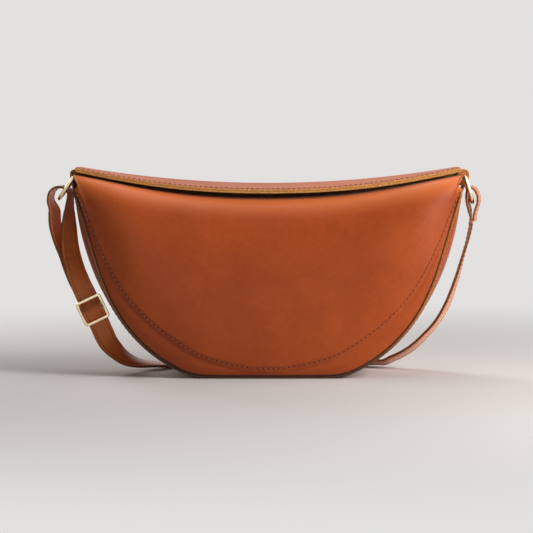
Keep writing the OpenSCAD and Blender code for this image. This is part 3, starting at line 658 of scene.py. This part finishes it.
# Tabs: at each upper corner a strip of thick leather is folded over the bar of a ring, with one
# leg outside the gusset and one inside, and a filler between the legs keeps the fold from closing on
# the ring. The flap's ends lie on the folds and press their inner side flat.
loop_r, tab_t, tab_half_w, tab_rise, knee_drop = 1.5, 1.7, 7, 3.3, 3.6
loop_z = corner_h + tab_rise - tab_t - loop_r
bar_z = 154.5
bars = {"left": -(top_half_w + 3.6), "right": top_half_w + 6.0}
lining_z, lining_end_x = 157.9, 149.5
under_tab = leather_t + layer_gap + float(gusset_drop(8.0, tab_half_w))
filler_r, filler_play = 1.48, 0.02
# The left filler is painted near black, as the shade inside the left loop; the right one is tan.
filler_edge = {"left": cut_edge("filler_painted_shade", (0.06, 0.02, 0.008), (0.03, 0.01, 0.004)),
               "right": cut_edge("tan_filler", (0.50, 0.17, 0.05), (0.30, 0.09, 0.025))}
for side, bar_x in bars.items():
    legs = np.linspace(first_turn, 8, 7)
    outer = (moon(legs[:2]) + moon_in(legs[:2]) * -np.array([[1.5], [1.1]]))[::-1]
    inner = moon(legs) + moon_in(legs) * (under_tab + tab_t + 0.2)
    turned = np.linspace(0, math.pi, 17)
    outer_reach, inner_reach = loop_r + tab_t, abs(bar_x) - top_half_w + 0.5
    loop_x = abs(bar_x) + np.where(np.cos(turned) > 0, outer_reach, inner_reach) * np.cos(turned)
    under_flap = lining_z + 2.5 * np.clip((loop_x - lining_end_x) / 0.7, 0, 1)
    loop = np.stack([loop_x, np.minimum(loop_z + outer_reach * np.sin(turned), under_flap)], -1)
    outer_knee = [[abs(bar_x) + outer_reach, loop_z - knee_drop]]
    inner_knee = [[abs(bar_x) - inner_reach, loop_z - knee_drop]]
    profile = np.concatenate([outer, outer_knee, loop, inner_knee, inner])
    mirrored = np.sign(bar_x)
    rows = [np.stack([mirrored * profile[:, 0], y + 0 * profile[:, 0], profile[:, 1]], -1)
            for y in mirrored * np.linspace(tab_half_w, -tab_half_w, 9)]
    tab = leather_sheet("tab_" + side + "_leather", rows, tab_t, tan, tan_edge, suede, 0.4)
    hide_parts("tab_" + side)
    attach(tab, "bag")
    bpy.ops.mesh.primitive_cylinder_add(vertices=32, radius=0.001, depth=0.001, end_fill_type="NGON")
    filler = added("tab_" + side + "_filler")
    filler_half_w, filler_h = (6.0, 11.5) if side == "left" else (6.7, 9.0)
    for vertex in filler.data.vertices:
        x, z = vertex.co.x * 1000 * filler_r, vertex.co.y * 1000 * filler_r
        if x * bar_x < 0:
            x *= (inner_reach - tab_t - filler_play) / filler_r
        z = loop_z + z if z > 0 else loop_z - filler_h + z * 0.2
        vertex.co = Vector((bar_x + x, math.copysign(filler_half_w, vertex.co.z), z)) / 1000
    face_outwards()
    wear_edges(filler, 0.4, 3, 60)
    filler.data.materials.append(filler_edge[side])
    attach(filler, "bag")

# Rings: D rings of round brass wire, closed at the bar that sits in the tab, and worn pale.
brass, brass_tree, brass_skin = new_material("worn_brass", {"Metallic": 1.0})
join = brass_tree.links.new
brass_wear = node(brass_tree, "ShaderNodeTexNoise", Scale=320.0, Detail=5.0, Roughness=0.65)
brass_tone = ramp(brass_tree, 0.35, (0.86, 0.66, 0.34), 0.6, (1.0, 0.89, 0.64))
brass_rough = node(brass_tree, "ShaderNodeMapRange", **{"To Min": 0.38, "To Max": 0.18})
join(node(brass_tree, "ShaderNodeTexCoord").outputs["Object"], brass_wear.inputs["Vector"])
join(brass_wear.outputs["Fac"], brass_tone.inputs["Fac"])
join(brass_wear.outputs["Fac"], brass_rough.inputs["Value"])
join(brass_tone.outputs["Color"], brass_skin.inputs["Base Color"])
join(brass_rough.outputs["Result"], brass_skin.inputs["Roughness"])


def metal_loop(name, path, section, flat):
    """A closed loop of metal: a torus laid along the path, flat being the direction across the loop."""
    bpy.ops.mesh.primitive_torus_add(major_segments=len(path), minor_segments=len(section))
    piece = added(name)
    ahead = unit(np.roll(path, -1, 0) - np.roll(path, 1, 0))
    out = unit(np.cross(ahead, flat))
    place_points(piece, path[:, None] + section[None, :, 0, None] * out[:, None]
                 + section[None, :, 1, None] * np.array(flat))
    face_outwards()
    bpy.ops.object.shade_smooth_by_angle(angle=math.radians(40))
    piece.data.materials.append(brass)
    return piece


def rounded_path(corners, radius, steps=6):
    """The corners of a closed outline in its own plane, each rounded to its radius."""
    made = []
    for k, corner in enumerate(corners):
        back = unit(corners[k - 1] - corner)
        on = unit(corners[(k + 1) % len(corners)] - corner)
        enters, leaves = corner + back * radius[k], corner + on * radius[k]
        for t in np.linspace(0, 1, steps):
            made.append((1 - t) ** 2 * enters + 2 * t * (1 - t) * corner + t ** 2 * leaves)
    return np.array(made)


ring_r, ring_l, wire_r = 9.9, 21.0, 1.4
straight_l = ring_l - ring_r
bar_ends = np.array([[0, ring_r], [0, -ring_r], [straight_l, -ring_r], [straight_l, ring_r]], float)
bow = np.radians(np.linspace(-90, 90, 33))
ring_flat = np.concatenate([rounded_path(bar_ends, [wire_r, wire_r, 0, 0])[:12],
                            np.stack([straight_l + ring_r * np.cos(bow), ring_r * np.sin(bow)], -1)])
wire = np.radians(np.linspace(0, 360, 21)[:-1])
wire_section = wire_r * np.stack([np.cos(wire), np.sin(wire)], -1)
hangs = {"left": 55, "right": 72}
for side, bar_x in bars.items():
    hang = math.radians(hangs[side])
    out = np.array([np.sign(bar_x) * math.cos(hang), 0, -math.sin(hang)])
    path = np.array([bar_x, 0, bar_z]) + ring_flat[:, :1] * out + ring_flat[:, 1:] * np.array([0, 1, 0])
    ring = metal_loop("ring_" + side + "_wire", path, wire_section, np.cross(out, [0, 1, 0]))
    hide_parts("ring_" + side)
    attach(ring, "ring_" + side)

# Slider: a cast brass frame with softly rounded edges and one middle bar. The strap's end is folded
# round the bar, and the strap itself runs through the frame.
slider_w, slider_h, metal_w, metal_t = 21.4, 20.6, 2.3, 2.0
slider_turn, slider_out_w, slider_y, slider_travel = 90 + 52.8, 14.1, -2.5, 10
slider_lean = math.radians(25.5)
slider_along = np.array([-math.sin(slider_lean), 0, math.cos(slider_lean)])
slider_across = np.array([math.cos(slider_lean), 0, math.sin(slider_lean)])
slider_xz = moon(slider_turn) - slider_out_w * moon_in(slider_turn)
slider_at = np.array([slider_xz[0], slider_y, slider_xz[1]])
quad = np.array([[1, 1], [-1, 1], [-1, -1], [1, -1]])
frame_corners = quad * [slider_w / 2 - metal_w / 2, slider_h / 2 - metal_w / 2]
corner_steps = 9
corners_flat = rounded_path(frame_corners, [1.8, 1.8, 2.6, 1.8], corner_steps).reshape(4, corner_steps, 2)
side_middles = mix(corners_flat[:, -1], np.roll(corners_flat[:, 0], -1, 0), 0.5)
frame_flat = np.concatenate([corners_flat, side_middles[:, None]], 1).reshape(-1, 2)
metal_section = rounded_path(quad * [metal_w / 2, metal_t / 2], [0.55] * 4, 4)
path = slider_at + frame_flat[:, :1] * slider_across + frame_flat[:, 1:] * slider_along
slider_frame = metal_loop("slider_frame_cast", path, metal_section, np.array([0.0, 1.0, 0.0]))
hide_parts("slider_frame")
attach(slider_frame, "slider")
refinish(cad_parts["slider_bar"], brass)

# Strap: two long bands of the tan leather sewn back to back along both edges. Its end is folded
# round the slider's bar, it turns in both rings, and its spare length stands put away behind.
strap_w, strap_t, folded_t, off_floor = 16.0, 2.4, 0.8, 0.3
weave_w, ring_press, stitch_pitch = 16.7, 0.5, 3.6
pin_d, hook_r, play = 2.0, 1.5, 1.0
weave_n = (pin_d + strap_t) / 2 + play
tail_n = weave_n + strap_t + play
ring_wide = [0.2, 0.98, 0]


def at_slider(s, n, t=strap_t):
    return [slider_at + s * slider_along + np.array([0, n, 0]), slider_across, t]


def at_ring(side, uv):
    hang, way = math.radians(hangs[side]), np.sign(bars[side])
    down = np.array([way * math.cos(hang), 0, -math.sin(hang)])
    off = np.array([way * math.sin(hang), 0, math.cos(hang)])
    return [np.array([bars[side], 0, bar_z]) + ring_l * (uv[0] * down + uv[1] * off), ring_wide, strap_t]


def at_body(x, y, z, *wide):
    return [np.array([x * bag_w / 2, y * base_d, max(z * corner_h, strap_t / 2 + off_floor)]), wide, strap_t]


hook = [at_slider(hook_r * math.cos(r), hook_r * math.sin(r), folded_t)
        for r in np.radians(range(390, 60, -30))]
rise = [at_slider(s * slider_h, n * tail_n, mix(folded_t, strap_t, t)) for s, n, t in (
    (0.049, 0.245, 0.1), (0.107, 0.356, 0.3), (0.175, 0.53, 0.7),
    (0.267, 0.758, 1), (0.437, 0.955, 1), (0.777, 1, 1))]
tail = [at_body(*r) for r in (
    (-1.01, 0.05, 0.519, 0.75, 0.6, 0.3), (-1.045, 0.043, 0.599, 0.6, 0.78, 0.2),
    (-1.081, 0.021, 0.679, 0.5, 0.85, 0.1), (-1.102, 0.007, 0.752, 0.45, 0.89, 0),
    (-1.105, 0, 0.818, 0.43, 0.9, 0))]
left_turn = [at_ring("left", uv) for uv in (
    (1.167, 0.286), (0.881, 0.371), (0.638, 0.248), (0.524, 0), (0.581, -0.2), (0.762, -0.324))]
front_run = [at_body(*r) for r in (
    (-1.026, -0.014, 0.818, 0.35, 0.94, 0), (-1.028, -0.029, 0.724, 0.65, 0.76, 0),
    (-1.021, -0.043, 0.625, 0.75, 0.62, 0.15), (-0.993, -0.043, 0.515, 0.8, 0.5, 0.3))]
front_run.append(at_slider(0.714 * slider_h, weave_n))
weave = [at_slider(s * 0.444 * slider_h, -weave_n * math.cos(math.pi * s)) for s in np.linspace(1, -1, 13)]
drop = [at_body(*r) for r in (
    (-0.85, 0, 0.199, 0.86, 0.2, 0.42), (-0.829, 0.043, 0.157, 0.74, 0.48, 0.46),
    (-0.797, 0.1, 0.1185, 0.5, 0.72, 0.48), (-0.752, 0.186, 0.078, 0.27, 0.87, 0.4),
    (-0.704, 0.286, 0.0535, 0.11, 0.96, 0.24), (-0.6585, 0.379, 0.038, 0.03, 0.99, 0.1),
    (-0.612, 0.471, 0.028, 0, 1, 0.03), (-0.569, 0.55, 0.0205, 0, 1, 0),
    (-0.536, 0.607, 0.0155, 0, 1, 0), (-0.51, 0.65, 0.0125, 0, 1, 0))]
runs, run_gap, near_y, far_y, turn_r = 10, 9.0, 50.0, 105.0, 4.5
run_x = [(k - (runs - 1) / 2) * run_gap for k in range(runs)]


def on_edge(x, y):
    return [np.array([x, y, strap_w / 2]), [0, 0, 1], strap_t]


def twisted(x, y, turn):
    c, s = math.cos(math.radians(turn)), math.sin(math.radians(turn))
    return [np.array([x, y, strap_w / 2 * s + (strap_t / 2 + off_floor) * c]), [0, c, s], strap_t]


def u_turn(x, y, way):
    return [on_edge(x + turn_r * (1 + math.cos(r)), y + way * turn_r * (math.sin(r) - 1))
            for r in np.radians(np.linspace(180, 0, 5))]


def quarter(x, way):
    return [on_edge(x + way * turn_r * (1 - math.sin(r)), near_y + turn_r * (1 - math.cos(r)))
            for r in np.radians([0, 45, 90])]


right_run = [at_body(*r) for r in (
    (0.5215, 0.714, 0.0255, 0, 0.96, -0.28), (0.5685, 0.671, 0.028, 0, 0.96, -0.28),
    (0.6148, 0.629, 0.031, 0.05, 0.95, -0.28), (0.6638, 0.571, 0.0535, 0.15, 0.94, -0.3),
    (0.7406, 0.471, 0.0987, 0.3, 0.93, -0.2), (0.8319, 0.357, 0.1847, 0.34, 0.94, -0.1),
    (0.8968, 0.257, 0.2694, 0.34, 0.94, 0), (0.9378, 0.171, 0.3535, 0.3, 0.95, 0),
    (0.9669, 0.114, 0.4357, 0.24, 0.97, 0), (0.9907, 0.057, 0.5178, 0.18, 0.98, 0),
    (1.0119, 0.014, 0.5987, 0.12, 0.99, 0), (1.0344, 0, 0.679, 0.05, 1, 0), (1.049, 0, 0.7586, 0, 1, 0))]
leaves, comes = drop[-1][0], right_run[0][0]
spare = [twisted(mix(leaves[0], run_x[0] - turn_r, x), mix(leaves[1], near_y, y), r) for x, y, r in
         ((0.3, 0.6, 20), (0.6, 0.9, 50), (0.85, 1, 78))] + quarter(run_x[0], -1)
for k in range(runs - 1):
    spare += u_turn(run_x[k], far_y if k % 2 == 0 else near_y, 1 if k % 2 == 0 else -1)
spare += quarter(run_x[-1], 1)[::-1]
spare += [twisted(mix(run_x[-1] + turn_r, comes[0], x), near_y + y * turn_r, r) for x, y, r in
          ((0.2, 0.2, 78), (0.45, 0.8, 50), (0.75, 0.8, 20))]
right_turn = [at_ring("right", uv) for uv in (
    (1.248, -0.19), (0.876, -0.155), (0.62, -0.07), (0.445, 0.076), (0.543, 0.219),
    (0.81, 0.283), (1.071, 0.21), (1.31, 0.043), (1.476, -0.062), (1.686, -0.148))]
lengths = [hook + rise + tail, left_turn, front_run, weave, drop, spare, right_run, right_turn]
first = np.cumsum([0] + [len(part) for part in lengths])
tail_end, front_from, weave_from, weave_end = first[1] - 1, first[2], first[3], first[4] - 1
drop_end, right_from, right_end, route_end = first[5] - 1, first[6], first[7] - 1, first[8] - 1
route = [station for part in lengths for station in part]
middles = np.array([station[0] for station in route])
widths = np.array([station[1] for station in route], float)
thick = np.array([station[2] for station in route])
ahead = np.zeros_like(middles)
for k in range(len(route)):
    if 0 < k < len(route) - 1:
        before, after = middles[k] - middles[k - 1], middles[k + 1] - middles[k]
        ahead[k] = unit(unit(before) * np.linalg.norm(after) + unit(after) * np.linalg.norm(before))
    else:
        ahead[k] = unit(middles[1] - middles[0] if k == 0 else middles[-1] - middles[-2])


def stations(start, stop, steps):
    """Middle, direction, width direction and thickness at even steps between two stations of the route."""
    made = []
    for k in range(start, stop):
        here, there = middles[k], middles[k + 1]
        length = np.linalg.norm(there - here)
        curve = [here, here + length * ahead[k] / 3, there - length * ahead[k + 1] / 3, there]
        for t in np.linspace(0, 1, steps + 1)[: steps + (k == stop - 1)]:
            way = unit(slope(curve, t))
            wide = mix(widths[k], widths[k + 1], t)
            wide = unit(wide - wide.dot(way) * way)
            made.append((bezier(curve, t), way, wide, mix(thick[k], thick[k + 1], t)))
    return made


thread = cut_edge("waxed_thread", (0.46, 0.14, 0.06), (0.26, 0.07, 0.025))
dark_thread = cut_edge("dark_thread", (0.17, 0.032, 0.012), (0.09, 0.016, 0.006))
# Needle holes are near-black discs on the surface: painted shade for the shade inside each hole.
hole = cut_edge("needle_hole_shade", (0.055, 0.010, 0.004), (0.03, 0.005, 0.002))


def stitches(name, path, normals, pitch, colour, length=2.2, thickness=0.6, sunk=0.1, pit_w=1.3):
    """A row of stitches along a path: one short thread and one needle hole, modelled once and repeated."""
    path, normals = np.asarray(path), unit(np.asarray(normals))
    run = np.concatenate([[0], np.cumsum(np.linalg.norm(np.diff(path, axis=0), axis=1))])
    count = max(2, int(run[-1] / pitch))
    at = (np.arange(count) + 0.5) * run[-1] / count

    def pick(values, where):
        return np.stack([np.interp(where, run, values[:, k]) for k in range(3)], -1)

    middle, up = pick(path, at), unit(pick(normals, at))
    look, bow = 0.6, 2.2
    way = unit(pick(path, np.minimum(at + look, run[-1])) - pick(path, np.maximum(at - look, 0)))
    side = unit(np.cross(up, way))
    up = np.cross(way, side)
    bpy.ops.mesh.primitive_uv_sphere_add(segments=6, ring_count=5, radius=0.5)
    piece = added(name)
    for material in (colour, hole):
        piece.data.materials.append(material)
    half = len(piece.data.vertices)
    bpy.ops.object.mode_set(mode="EDIT")
    bpy.ops.mesh.select_all(action="SELECT")
    bpy.ops.mesh.duplicate()
    piece.active_material_index = 1
    bpy.ops.object.material_slot_assign()
    bpy.ops.object.mode_set(mode="OBJECT")
    row = piece.modifiers.new("row", "ARRAY")
    row.count = count
    row.use_relative_offset = False
    bpy.ops.object.modifier_apply(modifier="row")
    shape = np.zeros(3 * len(piece.data.vertices), np.float32)
    piece.data.vertices.foreach_get("co", shape)
    shape = shape.reshape(count, 2, half, 3).astype(float)
    along, across, above = (shape[:, 0, :, k, None] for k in range(3))
    height = thickness * (above + 0.5 - bow * along ** 2) - sunk
    threads = (middle[:, None] + along * length * way[:, None] + across * thickness * side[:, None]
               + height * up[:, None])
    along, across, above = (shape[:, 1, :, k, None] for k in range(3))
    pit_h, pit_out = 0.2, 0.02
    pit_at = middle + way * pitch / 2 + up * pit_out
    pits = (pit_at[:, None] + along * pit_w * way[:, None] + across * 0.8 * pit_w * side[:, None]
            + above * pit_h * up[:, None])
    place_points(piece, np.stack([threads, pits], 1))
    bpy.ops.object.shade_smooth()
    return piece


seam_share, band_round = 0.69, 0.3
half_shares = np.array([0.25, 0.5, 0.64, seam_share, 0.74, 0.8, 0.93, 1])
band_shares = np.concatenate([-half_shares[::-1], [0], half_shares])


def band_crown(share):
    """How a band stands up across its width: a low crown with a groove along each seam."""
    return 0.16 * (1 - abs(share) ** 3) - 0.12 * math.exp(-((abs(share) - seam_share) / 0.06) ** 2)


def strap_length(name, start, stop, steps, keep=slice(None), breadth=strap_w, pressed=0.0):
    """One stretch of the strap with both its bands, dyed over at its ends, and its four rows of stitches."""
    place, way, wide, thickness = (np.array(column) for column in zip(*stations(start, stop, steps)[keep]))
    thickness = thickness - pressed
    off = np.cross(way, wide)
    parts = []
    for face in (1, -1):
        rows = []
        for share in face * band_shares:
            lift = thickness / 2 - 0.12 + band_crown(share) * thickness / strap_t
            rows.append(place + wide * share * breadth / 2 + off * face * lift[:, None])
        band_t = 0.98 * thickness.min() / 2 - 0.1
        band = leather_sheet(name, rows, band_t, strap_lit_tan, strap_edge, suede, band_round)
        for polygon in band.data.polygons:
            for end in (0, -1):
                away = np.array(polygon.center) * 1000 - place[end]
                at_end = abs(away.dot(way[end])) < band_round + 0.05 and np.linalg.norm(away) < strap_w
                if polygon.material_index == 1 and at_end:
                    polygon.material_index = 0
        parts.append(band)
        for edge in (1, -1):
            seam = (place + wide * edge * seam_share * breadth / 2
                    + off * face * (thickness / 2 - 0.1)[:, None])
            parts.append(stitches(name, seam, off * face, stitch_pitch, dark_thread,
                                  length=2.1, sunk=0.26, pit_w=0.8))
    bpy.ops.object.select_all(action="DESELECT")
    for part in parts:
        part.select_set(True)
    bpy.context.view_layer.objects.active = parts[0]
    bpy.ops.object.join()
    parts[0].name = name
    return parts[0]


# The strap is painted much lighter than the panels' tan leather, as painted light on the strap.
strap_lit_tan = leather("strap_leather", (0.72, 0.215, 0.058), (0.54, 0.14, 0.034), 0.38, sheen=0.4)
strap_edge = cut_edge("strap_cut_edge", (0.30, 0.105, 0.022), (0.12, 0.038, 0.008))
tail_stations = stations(0, tail_end, 4)
tail_cut = int(len(tail_stations) * 0.8)
tail_low = strap_length("strap_tail_low", 0, tail_end, 4, slice(0, tail_cut))
tail_high = strap_length("strap_tail_high", 0, tail_end, 4, slice(tail_cut - 1, None))
for piece in (tail_low, tail_high):
    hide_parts("strap_tail")


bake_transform(tail_low)
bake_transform(tail_high)
ring_turn = strap_length("strap_ring_turn_bands", tail_end, front_from, 6, pressed=ring_press)
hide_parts("strap_ring_turn")
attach(ring_turn, "ring_left")
run_stations = stations(front_from, weave_from, 6)
run_cut = len(run_stations) // 2
front_high = strap_length("strap_front_run_high", front_from, weave_from, 6, slice(0, run_cut))
front_low = strap_length("strap_front_run_low", front_from, weave_from, 6, slice(run_cut - 1, None))
for piece in (front_high, front_low):
    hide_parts("strap_front_run")
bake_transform(front_high)
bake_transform(front_low)
weave_piece = strap_length("strap_weave_bands", weave_from, weave_end, 3, breadth=weave_w)
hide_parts("strap_weave")
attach(weave_piece, "slider")
drop_piece = strap_length("strap_drop_bands", weave_end, drop_end, 5)
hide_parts("strap_drop")
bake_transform(drop_piece)
store_piece = strap_length("strap_store_bands", drop_end, right_from, 3)
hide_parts("strap_store")
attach(store_piece, "bag")
right_piece = strap_length("strap_right_run_bands", right_from, right_end, 5)
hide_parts("strap_right_run")
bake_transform(right_piece)
right_loop = strap_length("strap_right_turn_bands", right_end, route_end, 5, pressed=ring_press)
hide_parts("strap_right_turn")
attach(right_loop, "ring_right")

# Seams: waxed thread, hand sewn through punched holes. One arc holds the front panel to its
# border, one row runs along the flap's cut edge, two rows hold the panels in the gusset, and a last
# one goes round the pocket.
arc_t, seam_lift, from_cut_edge = lap_t - seam_in * per_mm, 1.25, 2.6
arc = drawn_out(off_face(front_curve, turns, arc_t, -1, layer_gap + seam_lift + 0 * turns))
arc_up = arc - drawn_out(off_face(front_curve, turns, arc_t, -1, 0 * turns))
front_seam = stitches("front_seam", arc, arc_up, 4.0, thread, thickness=0.62, sunk=0.02)
flap_seam_at = mix(fold_top, flap_end, (1 - from_cut_edge / flap_reach)[:, None])
flap_up = np.array([[0, 0, 1.0]] * len(turns))
flap_seam = stitches("flap_seam", flap_seam_at, flap_up, 4.0, dark_thread, sunk=0.12, pit_w=0.8)
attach(front_seam, "bag")
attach(flap_seam, "flap")
from_bend, off_table = 2.5, 0.5
for name, side in (("gusset_seam_front", -1), ("gusset_seam_back", 1)):
    y = side * (half_d(turns) - from_bend)
    seam = at_depth(turns, y, gusset_drop(turns, y))
    away = seam - at_depth(turns, y, gusset_drop(turns, y) + 1)
    seam[:, 2] = np.maximum(seam[:, 2], off_table)
    gusset_seam = stitches(name, seam, away, 4.4, thread)
    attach(gusset_seam, "bag")
down = np.linspace(0.21, 0.68, 12)
along = np.linspace(58.2, 121.8, 31)
pocket_a = np.concatenate([0 * down + along[0], along[1:-1], 0 * down + along[-1]])
pocket_t = np.concatenate([down, 0 * along[1:-1] + down[-1], down[::-1]])
pocket_path = off_face(back_curve, pocket_a, pocket_t, 1, -pocket_depth + 0 * pocket_a)
inwards = off_face(back_curve, pocket_a, pocket_t, 1, -9 + 0 * pocket_a) - pocket_path
pocket_seam = stitches("pocket_seam", pocket_path, inwards, 4.0, thread)
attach(pocket_seam, "bag")
